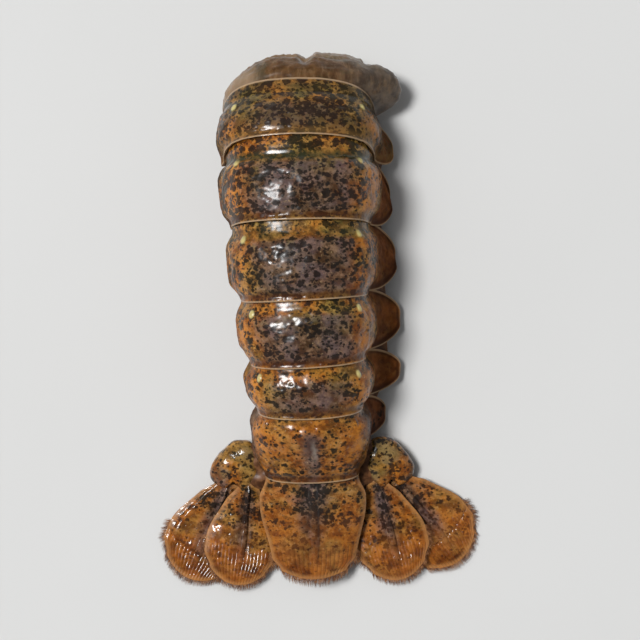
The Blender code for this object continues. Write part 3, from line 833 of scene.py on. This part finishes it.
def meat_tree():
    """The relief of the meat: lobes and clefts on the cut knob, fibres along it, and a pleated belly."""
    nodes = Shape("meat_relief", Mesh="Geometry")
    across, along, height = nodes.split()
    x, z = across / MM, height / MM
    out, up = nodes.stored("out", "up")
    wander = nodes.uneven(5.0, 160.0, 2.0)
    face = out.eased(3.0, 8.0)
    cleft = (x + 4.0 + wander).hump(0.0, 2.6) * face
    waist = (z - 15.5 + wander).hump(0.0, 2.4) * out.eased(6.0, 11.0)
    side_cleft = (x - 11.0 + wander * 1.3 - z * 0.15).hump(0.0, 2.2) * face
    fibres = (nodes.grain(1000.0, 3.0, place=nodes.scaled(1.0, 0.14, 1.0)) - 0.5) * 0.5
    lumps, waves = nodes.uneven(1.5, 210.0, 3.0), nodes.uneven(1.6, 75.0, 2.0, 0.7)
    seams = (1.0 - bundle_edges(nodes).eased(0.0, 0.16)) * out.eased(5.0, 10.0) * -0.22
    pleats = ((along / MM + wander * 0.4) * 1.5).sine() * 0.22 * (-up).eased(0.2, 0.7) * (1.0 - face)
    relief = waves + lumps * out.eased(0.0, 4.0).between(0.3, 1.0) + fibres * up.eased(-0.4, 0.1)
    relief = relief + seams + pleats - cleft * 1.5 - waist * 1.1 - side_cleft * 0.8
    shape = nodes.raised(nodes.size["Mesh"], relief - 0.25)
    return nodes.end(nodes.move(shape, Position=nodes.vector(across, along, height.most(0.2 * MM))))


# Raw flesh: translucent grey beige with a brown top, greyer to the right, and milky skin on the belly.
wet_flesh = {"Specular IOR Level": 0.12, "Coat Roughness": 0.16, "Coat IOR": 1.36}
flesh = Finish("raw_meat", {**wet_flesh, **lit_through(0.6, 0.55, 0.35, 2.4)})
right = flesh.split()[0] / MM
out, up = marks(flesh, "out", "up")
stretched = flesh.scaled(1.0, 0.16, 1.0)
fibre, streak = flesh.grain(1500.0, 3.0, 0.6, 0.0, stretched), flesh.grain(560.0, 4.0, 0.6, 1.4, stretched)
milk, cloud = flesh.grain(330.0, 4.0), flesh.grain(95.0, 3.0, seed=0.3)
murk = flesh.grain(150.0, 3.0, seed=5.2).eased(0.50, 0.64)
fatty = (1.0 - bundle_edges(flesh).eased(0.0, 0.10)) * fibre.eased(0.35, 0.6) * out.eased(5.0, 10.0)
brown = flesh.blend(milk.eased(0.35, 0.65), (0.050, 0.021, 0.007), (0.112, 0.051, 0.017))
grey = flesh.blend(milk.eased(0.4, 0.62), (0.060, 0.048, 0.038), (0.120, 0.096, 0.074))
belly = flesh.blend(cloud.eased(0.4, 0.6), (0.27, 0.21, 0.15), (0.38, 0.31, 0.24))
top = up.eased(0.30, 0.95) * out.eased(13.0, 3.0) * cloud.eased(0.30, 0.60).between(0.4, 0.9)
left_edge = (right + cloud * 6.0).eased(-12.0, -18.0) * out.eased(9.0, 3.0)
colour = flesh.coated(
    flesh.blend(milk.eased(0.30, 0.70), (0.100, 0.047, 0.015), (0.165, 0.086, 0.032)),
    (top, brown),
    (murk * up.eased(0.5, 0.9) * 0.55, (0.052, 0.046, 0.020)),
    ((right + cloud * 8.0).eased(6.0, 19.0) * 0.8, grey),
    (streak.eased(0.50, 0.66) * 0.42, (0.24, 0.145, 0.072)),
    (streak.eased(0.46, 0.34) * 0.35, (0.060, 0.036, 0.020)),
    (left_edge * 0.55, (0.37, 0.275, 0.185)),
    (fibre.eased(0.55, 0.75) * 0.18, (0.34, 0.25, 0.16)),
    (out.eased(7.0, 12.5) * 0.5, (0.29, 0.205, 0.130)),  # the pale cut face
    (fatty * 0.22, (0.46, 0.38, 0.29)),
    ((-up).eased(0.05, 0.5) * 0.8, belly),
)
fine = fibre * 0.7 + flesh.grain(1800.0, 2.0) * 0.3
flesh.paint(colour, milk.between(0.22, 0.42), cloud.eased(0.35, 0.6).between(0.2, 0.55), fine, 0.3, 0.2)

cage = put("meat_cage", meat_cage())
rounder = cage.modifiers.new("rounder", "SUBSURF")
rounder.levels = rounder.render_levels = 3
meat = put("raw_meat", grown(meat_tree(), flesh, {}, taken(cage)))
meat.data.shade_smooth()
fitted(meat, "meat", "meat")


# The tail fan's middle plate and its four blades.
# Thin flat shell, ridged along the middle and thin at the edges, in one row behind the last ring. The middle
# plate starts under the last rim; each side's two blades start in the stubby base beside it.
BLADE_THICKNESS, PLATE_LENGTH, PLATE_START = 1.5 * MM, 27.5 * MM, 0.8 * MM
BLADE_GRID = 84, 84  # the segments across a sheet and along it
PLATE_ROOT_Z, PLATE_END_Z, PLATE_CROWN = 14.2 * MM, 6.5 * MM, (4.4 * MM, 1.2 * MM)
ROOT_RISE, RISE_RUN = 4.0 * MM, 18 * MM
RUST = (0.085, 0.020, 0.004), (0.250, 0.070, 0.012)


class Blade(NamedTuple):
    """One blade of the tail fan, with its sizes in millimetres and its angles in degrees."""

    root: tuple  # its start, sideways from the middle and behind the last hinge
    length: float
    width: float
    level: float
    spread_right: float
    spread_left: float
    suture: float  # 1 if a cross seam parts its end


BLADES = {
    "inner": Blade((17.6, 3.6), 29.0, 20.0, 3.1, 14.0, 9.0, 0.0),
    "outer": Blade((23.4, 3.4), 29.5, 22.0, 0.95, 36.0, 24.0, 1.0),
}


def plate_point(across, along):
    """A point of the fan's middle plate, in the fan's frame."""
    behind = PLATE_START + along * (PLATE_LENGTH + 2.5 * MM * (1 - across**2))
    run = min(max((behind - PLATE_START) / PLATE_LENGTH, 0.0), 1.0)
    half = mix((12.8, 14.7), smooth(0.05, 0.25, along)) - 3.2 * smooth(0.3, 0.95, along)
    half -= 2.4 * smooth(0.86, 1.0, along)
    crown = mix(PLATE_CROWN, along) * across**2
    z = mix((PLATE_END_Z, PLATE_ROOT_Z), (1 - run) ** 1.2) - crown
    return Vector((half * MM * across, -behind, z))


def blade_point(blade, side, right, along):
    """A point of a blade, in the fan's frame."""
    across = side * right  # runs outwards from the body
    spread = math.radians(blade.spread_right if side > 0 else blade.spread_left)
    half = blade.width / 2 * mix((0.46, 1.0), smooth(0.0, 0.62, along))
    half *= 1 - 0.24 * smooth(0.78, 1.0, along) - 0.42 * (1 - smooth(0.0, 0.2, along))
    reach = blade.length * along * (1 - 0.13 * across**2 * along)
    out = blade.root[0] + reach * math.sin(spread) + across * half * math.cos(spread)
    behind = blade.root[1] + reach * math.cos(spread) - across * half * math.sin(spread)
    rise = ROOT_RISE * max(1 - behind * MM / RISE_RUN, 0.0) ** 2
    z = blade.level * MM + rise + 0.3 * MM * (1 - across**2)
    return Vector((side * out * MM, -behind * MM, z))


def sheet(point_at, columns, rows):
    """A grid mesh with its points at point_at(across, along), which it stores with the way to its border."""
    bm = bmesh.new()
    bmesh.ops.create_grid(bm, x_segments=columns, y_segments=rows, size=1.0)
    across, along, border = (bm.verts.layers.float.new(name) for name in ("across", "along", "border"))
    for vertex in bm.verts:
        vertex[across] = min(max(vertex.co.x, -1.0), 1.0)
        vertex[along] = min(max((1 - vertex.co.y) / 2, 0.0), 1.0)
        vertex.co = point_at(vertex[across], vertex[along])
    edge = [vertex for vertex in bm.verts if vertex.is_boundary]
    tree = KDTree(len(edge))
    for index, vertex in enumerate(edge):
        tree.insert(vertex.co, index)
    tree.balance()
    for vertex in bm.verts:
        vertex[border] = tree.find(vertex.co)[2] / MM
    return drawn("sheet", bm)


def fan_tree():
    """The relief of a blade: a middle ridge between two grooves, an outer keel, rays and a cross seam."""
    nodes = Shape("fan_relief", ("Suture", "Seed"), Mesh="Geometry")
    suture, seed = nodes.size["Suture"], nodes.size["Seed"]
    across, along, border = nodes.stored("across", "along", "border")
    bend = nodes.uneven(0.12, 60.0, 1.0, seed)
    fade = along.eased(0.0, 0.12) * (1.0 - along.eased(0.62, 0.9))
    ridge = (across + bend).hump(0.02, 0.085) * 0.7 - (across + bend).hump(0.13, 0.10) * 0.25
    ridge = ridge - (across + bend).hump(-0.10, 0.10) * 0.25
    keel = across.size().hump(0.72, 0.13) * 0.45 * suture
    rays = (across * 62.0 + bend * 30.0).sine() * 0.13 * along.eased(0.55, 0.9)
    bow = along + across * across * 0.05
    seam = (bow + (across * 40.0).sine() * 0.006).hump(0.735, 0.022) * -0.42
    step = bow.eased(0.73, 0.75) * -0.32
    rough = nodes.uneven(0.9, 110.0, 2.0, seed) + nodes.uneven(0.30, 420.0, 3.0, seed)
    rough = rough + nodes.pits(0.14, 520.0, 0.34, seed)
    relief = rough + (ridge + keel) * fade + rays + (seam + step) * suture
    return nodes.end(nodes.raised(nodes.size["Mesh"], relief * border.eased(-0.8, 2.2)))


water = {"Specular IOR Level": 0.08, "Coat Roughness": 0.08, "Coat IOR": 1.38}
fan = Finish("fan_shell", {**water, **lit_through(0.1, 0.35, 0.15, 0.8)})
across, along, border = marks(fan, "across", "along", "border")
middle = across.hump(0.0, 0.5) * (1.0 - along.eased(0.5, 1.0))
near = 1.0 - along.eased(0.15, 0.70)
density = (middle * 0.25 + 0.42 + near * 0.16 - along * 0.12).held()
colour, dark = speckled(fan, 0.72, (middle * 0.7 + near * 0.3).held(), density)
colour = fan.coated(
    colour,
    (along.eased(0.2, 0.95) * 0.62, fan.blend(fan.grain(200.0, 3.0).eased(0.36, 0.62), *RUST)),
    ((1.0 - border.eased(0.2, 1.6)) * 0.6, (0.42, 0.20, 0.07)),
)
rough = fan.grain(500.0, 3.0).eased(0.35, 0.7).between(0.26, 0.46)
wet = fan.grain(70.0, 2.0).eased(0.35, 0.6).between(0.4, 0.95)
fan.paint(colour, rough, wet, fan.grain(1500.0, 3.0, 0.6) * 0.6 + fan.cells(900.0).eased(0.0, 0.4) * 0.4)

fan_turn = Matrix.Rotation(math.radians(RINGS[-1].yaw), 4, "Z")
fan_place = Matrix.Translation((last_hinge.x, last_hinge.y, 0)) @ fan_turn
# Each face of the fan: its piece, the solid it stands for, its points, its suture and its seed.
fan_faces = [("fan_middle_plate", "fan_plate", plate_point, 0.0, 0.5)]
for side, word in SIDES:
    for kind, blade in BLADES.items():
        names = (f"fan_{kind}_blade_{word}", f"fan_{kind}_{word}")
        fan_faces.append((*names, partial(blade_point, blade, side), blade.suture, 0.3 * side + blade.level))
fan_relief = fan_tree()
for name, node, point_at, suture, seed in fan_faces:
    mesh = grown(fan_relief, fan, {"Suture": suture, "Seed": seed}, sheet(point_at, *BLADE_GRID), fan_place)
    made = walled(name, mesh, BLADE_THICKNESS * 0.92, 0.0, thin=0.3, run=3.0, bevel=0.12)
    fitted(grounded(settled(made)), "fan", node)


# The hair fringe of the fan.
# A close row of short stiff hairs along the rear edge of the middle plate and of each blade, rooted in the
# edge itself.
HAIR = {"Spacing": 0.06 * MM, "Thickness": 0.085 * MM, "Spread": 0.22}
HAIR_BITE = 0.45 * MM
PLATE_FRINGE, BLADE_FRINGE = (0.8, 3.0), (0.6, 2.5)  # where it starts along the sides, and its length


def hair_tree():
    """Tapered hairs along a path, each pointing outwards with a little scatter."""
    numbers = ("Spacing", "Length", "Thickness", "Spread")
    nodes = Shape("hair_fringe", numbers, Path="Geometry", Seed="Int")
    size = nodes.size
    path = nodes.add("GeometryNodeMeshToCurve", None, {0: size["Path"]})
    sockets = {0: path, "Length": size["Spacing"]}
    points = nodes.add("GeometryNodeCurveToPoints", {"mode": "LENGTH"}, sockets)
    sockets = {"Vertices": 4, "Side Segments": 3, "Depth": size["Length"]}
    sockets.update({"Radius Bottom": size["Thickness"], "Radius Top": size["Thickness"] * 0.15})
    hair = nodes.add("GeometryNodeMeshCone", None, sockets)
    spread = size["Spread"]
    low = nodes.vector(-spread, -spread, spread * -0.6)
    sockets = {0: low, 1: nodes.vector(spread, spread, spread * 0.3), "Seed": size["Seed"]}
    scatter = nodes.add("FunctionNodeRandomValue", {"data_type": "FLOAT_VECTOR"}, sockets)
    (outwards,) = nodes.stored("outwards", kind="FLOAT_VECTOR")
    sockets = {"Vector": nodes.moved(scatter, outwards)}
    turn = nodes.add("FunctionNodeAlignRotationToVector", {"axis": "Z"}, sockets)
    sockets = {2: 0.55, 3: 1.0, "Seed": size["Seed"]}
    grow = nodes.add("FunctionNodeRandomValue", {"data_type": "FLOAT"}, sockets, 1)
    sockets = {"Points": points, "Instance": hair, "Rotation": turn, "Scale": grow}
    return nodes.end(nodes.add("GeometryNodeInstanceOnPoints", None, sockets))


def hair_path(point_at, spots, bite):
    """A line of points just inside a sheet's border, with the way outwards stored at each."""
    mesh = bpy.data.meshes.new("hair_path")
    points, ways = [], []
    for across, along in spots:
        spot = point_at(across, along)
        way = (spot - point_at(across * 0.9, 0.06 + along * 0.86)).normalized()
        points.append(spot - way * bite)
        ways.extend(way)
    mesh.from_pydata(points, [(i, i + 1) for i in range(len(points) - 1)], [])
    mesh.attributes.new("outwards", "FLOAT_VECTOR", "POINT").data.foreach_set("vector", ways)
    return mesh


def rear_border(start):
    """Places along a sheet's left side from start, its rear edge, and its right side back to start."""
    left = [(-1.0, mix((start, 1.0), i / 12)) for i in range(12)]
    rear = [(i / 20 - 1.0, 1.0) for i in range(41)]
    right = [(1.0, mix((1.0, start), i / 12)) for i in range(1, 13)]
    return left + rear + right


hair = Finish("fringe_hair", {"Specular IOR Level": 0.3})
strand = hair.grain(900.0, 2.0)
colour = hair.blend(strand.eased(0.35, 0.65), (0.120, 0.040, 0.014), (0.36, 0.165, 0.065))
hair.paint(colour, strand.between(0.35, 0.6))

hair_row = hair_tree()
fringes = []
for index, (_, _, point_at, _, _) in enumerate(fan_faces):
    start, length = BLADE_FRINGE if index else PLATE_FRINGE
    path = hair_path(point_at, rear_border(start), HAIR_BITE)
    sizes = {**HAIR, "Length": length * MM, "Seed": index}
    fringes.append(grown(hair_row, hair, sizes, path, fan_place))
fitted(joined("fan_fringe", fringes), "fan")


# The two stubby bases of the fan.
# A short thick knuckle of shell on each side, between the last ring and the blades that it carries. It is
# narrow in front, with two flat lobes behind, one over each blade.
BASE_SIZE = Vector((6.6, 5.3, 4.0)) * MM
BASE_PLACE = Vector((21.0, 3.0, 4.9)) * MM
BASE_GRID = 96, 64  # the segments round a ball and from end to end
# The painted highlight over the top of each base: paler olive where it faces the light.
OLIVE_HIGHLIGHT = (0.115, 0.085, 0.022), (0.30, 0.215, 0.075)


def skin_tree():
    """Uneven skin or shell: broad waves, lumps and fine grain along the normal, in millimetres."""
    nodes = Shape("skin_relief", ("Wave", "Lump", "Grain", "Seed"), Mesh="Geometry")
    size = nodes.size
    relief = nodes.uneven(size["Wave"], 130.0, 2.0, size["Seed"])
    relief = relief + nodes.uneven(size["Lump"], 420.0, 3.0, size["Seed"])
    relief = relief + nodes.uneven(size["Grain"], 1300.0, 2.0, size["Seed"])
    return nodes.end(nodes.raised(size["Mesh"], relief))


def ball(point_at, columns, rows):
    """A closed ball whose points lie at point_at(x, y, z) for each point of a unit ball."""
    points = [point_at(0.0, 0.0, 1.0)]
    for row in range(1, rows):
        wide, high = math.sin(math.pi * row / rows), math.cos(math.pi * row / rows)
        for column in range(columns):
            angle = math.tau * column / columns
            points.append(point_at(wide * math.cos(angle), wide * math.sin(angle), high))
    return capped("ball", [*points, point_at(0.0, 0.0, -1.0)], columns)


def base_point(side, x, y, z):
    """A point of a base, in the fan's frame."""
    round_off = max(math.hypot(x, y), 1e-6) / max((abs(x) ** 3 + abs(y) ** 3) ** (1 / 3), 1e-6)
    out, ahead = side * x * round_off, y * round_off
    behind = (1 - ahead) / 2
    lobe = 1.62 - 0.42 * max(1 - abs(out + 0.10) / 0.30, 0.0) - 0.25 * max(out, 0.0)
    half = mix((0.62, 1.06), smooth(0.0, 0.8, behind))
    top = math.copysign(abs(z) ** 0.62, z)
    crease = 0.9 * MM * max(1 - abs(out + 0.10 + 0.2 * ahead) / 0.16, 0.0)
    crease *= smooth(0.45, 0.9, behind) * max(z, 0.0)
    across = BASE_PLACE.x - 1.6 * MM + 3.4 * MM * behind + BASE_SIZE.x * out * half
    height = BASE_PLACE.z + (BASE_SIZE.z - 0.4 * MM) * top - 1.1 * MM * out - 0.8 * MM * behind - crease
    along = BASE_PLACE.y + BASE_SIZE.y * (ahead if ahead > 0 else ahead * lobe)
    return Vector((side * across, along, max(height, 0.15 * MM)))


base = Finish("fan_base_shell", water)
broad = base.grain(150.0, 3.0, seed=0.9)
colour, dark = speckled(base, 0.6, broad.eased(0.45, 0.6) * 0.5, broad.eased(0.3, 0.7).between(0.35, 0.7))
# painted highlight: the top of each base is paler olive, as if lit from above
top = (base.split()[2] / MM + (broad - 0.5) * 3.0).eased(6.6, 8.6)
colour = base.blend(top * (1.0 - dark) * 0.55, colour, base.blend(broad.eased(0.4, 0.6), *OLIVE_HIGHLIGHT))
wet = broad.eased(0.35, 0.6).between(0.5, 0.95)
base.paint(colour, broad.between(0.24, 0.42), wet, base.grain(1500.0, 3.0, 0.6), 0.3)

skin_relief = skin_tree()
for side, word in SIDES:
    sizes = {"Wave": 1.3, "Lump": 0.45, "Grain": 0.12, "Seed": 0.4 * side}
    mesh = grown(skin_relief, base, sizes, ball(partial(base_point, side), *BASE_GRID), fan_place)
    made = put(f"fan_knuckle_{word}", mesh)
    made.data.shade_smooth()
    fitted(grounded(made), "fan", f"fan_base_{word}")


# The flesh of the fan's hinge.
# Soft brown skin over muscle on each side, which joins the base and the root of the middle plate to the
# inside of the last ring. It grows out of both.
PAD_GRID = 64, 40


def hinge_point(side, x, y, z):
    """A point of the flesh, in the fan's frame: a flat pad with soft folds across it."""
    fold = 0.25 * math.sin(9 * y + 3 * side * x)
    rise = 1.3 * max(y, 0)  # fuller inside the ring
    height = 5.5 + rise + (2.5 + fold + rise - 0.4 * side * x) * z
    return Vector((side * 12.4 + 7.6 * x, 1.6 + 7.2 * y, height)) * MM


pads = []
for side, _ in SIDES:
    sizes = {"Wave": 1.2, "Lump": 0.7, "Grain": 0.15, "Seed": 0.7 * side}
    pad = ball(partial(hinge_point, side), *PAD_GRID)
    pads.append(grown(skin_relief, joint, sizes, pad, fan_place))
fitted(joined("fan_hinge_flesh", pads), "fan")


# The swimmerets.
# Eight small swimming legs, folded back in pairs under the belly. Each is a short fleshy stem on a belly bar
# with two thin, veined leaves that carry a fringe of hair.
LEAF_SIZE = Vector((2.7, 6.6)) * MM
STEM_SIZE = Vector((2.0, 2.2, 1.3)) * MM
STEM_DROP, STEM_GRID, LEAF_GRID = 2.9 * MM, (32, 20), (22, 40)
LEAF_HAIR = {"Spacing": 0.30 * MM, "Length": 1.5 * MM, "Thickness": 0.075 * MM, "Spread": 0.3}
LEAVES = ((-16, -2.3), (12, 1.9))  # the turn of each leaf in degrees, and its place sideways


def leaf_point(size, across, along):
    """A point of a leaf in its own frame: an oval that cups a little and waves towards its end."""
    run = 1 - 2 * along
    half = LEAF_SIZE.x * max(1 - abs(run) ** 2.3, 0.0) ** 0.55 + 0.12 * MM
    cup = 0.28 * MM * (1 - across**2) + 0.12 * MM * math.sin(5 * run + 2 * across)
    return Vector((half * across, LEAF_SIZE.y * run, cup)) * size


def stem_point(size, x, y, z):
    """A point of a stem in its own frame."""
    return Vector((x * STEM_SIZE.x, y * STEM_SIZE.y, z * STEM_SIZE.z)) * size


leaf = Finish("swimmeret_skin", {"Coat Roughness": 0.2, **lit_through(0.3, 0.4, 0.2, 0.8)})
across, along = marks(leaf, "across", "along")
patch = leaf.grain(420.0, 4.0)
vein = ((along * 46.0 + across.size() * 9.0).sine() * 0.5 + 0.5) ** 3.0 * across.size().eased(0.05, 0.2)
colour = leaf.coated(
    leaf.blend(patch.eased(0.36, 0.62), (0.24, 0.085, 0.026), (0.50, 0.25, 0.11)),
    (vein * 0.35, (0.16, 0.05, 0.018)),
    (across.hump(0.0, 0.12) * 0.5, (0.60, 0.36, 0.18)),
)
leaf.paint(colour, patch.between(0.3, 0.5), patch.between(0.2, 0.6), patch + vein * -0.4, 0.4, 0.15)

down_side = [(-1.0, 0.12 + 0.8 * step / 20) for step in range(21)]
leaf_border = down_side + [(1.0, 0.92 - 0.8 * step / 20) for step in range(21)]
for number in (2, 3, 4, 5):
    ring, place = RINGS[number - 1], places[number - 1]
    left, right = bar_ends(ring)
    size = ring.widths[1] / RINGS[1].widths[1]
    oval = partial(leaf_point, size)
    for side, word in SIDES:
        root = Vector((side * 0.45 * right.x, left.y - 0.8 * MM, left.z - STEM_DROP))
        sizes = {"Wave": 0.4, "Lump": 0.3, "Grain": 0.08, "Seed": 0.3 * number * side}
        stem = ball(partial(stem_point, size), *STEM_GRID)
        stem.transform(Matrix.Translation(root))
        meshes = [grown(skin_relief, leaf, sizes, stem)]
        for index, (turn, shift) in enumerate(LEAVES):
            centre = root + Vector((side * shift * MM * size, -LEAF_SIZE.y * size * 0.86, -0.35 * MM))
            spot = Matrix.Translation(centre) @ Matrix.Rotation(math.radians(side * -turn), 4, "Z")
            blade = grown(skin_relief, leaf, sizes, sheet(oval, *LEAF_GRID))
            blade = walled("leaf", blade, 0.9 * MM * size, 0.0, thin=0.35, run=1.4, bevel=0.06)
            path = hair_path(oval, leaf_border, 0.2 * MM)
            hairs = grown(hair_row, hair, {**LEAF_HAIR, "Seed": number * 10 + index}, path)
            for mesh in (taken(blade), hairs):
                mesh.transform(spot)
                meshes.append(mesh)
        for mesh in meshes:
            mesh.transform(place)
        made = joined(f"swimmeret_{number}_{word}_leaves", meshes)
        fitted(made, "swimmeret", f"swimmeret_{number}_{word}")
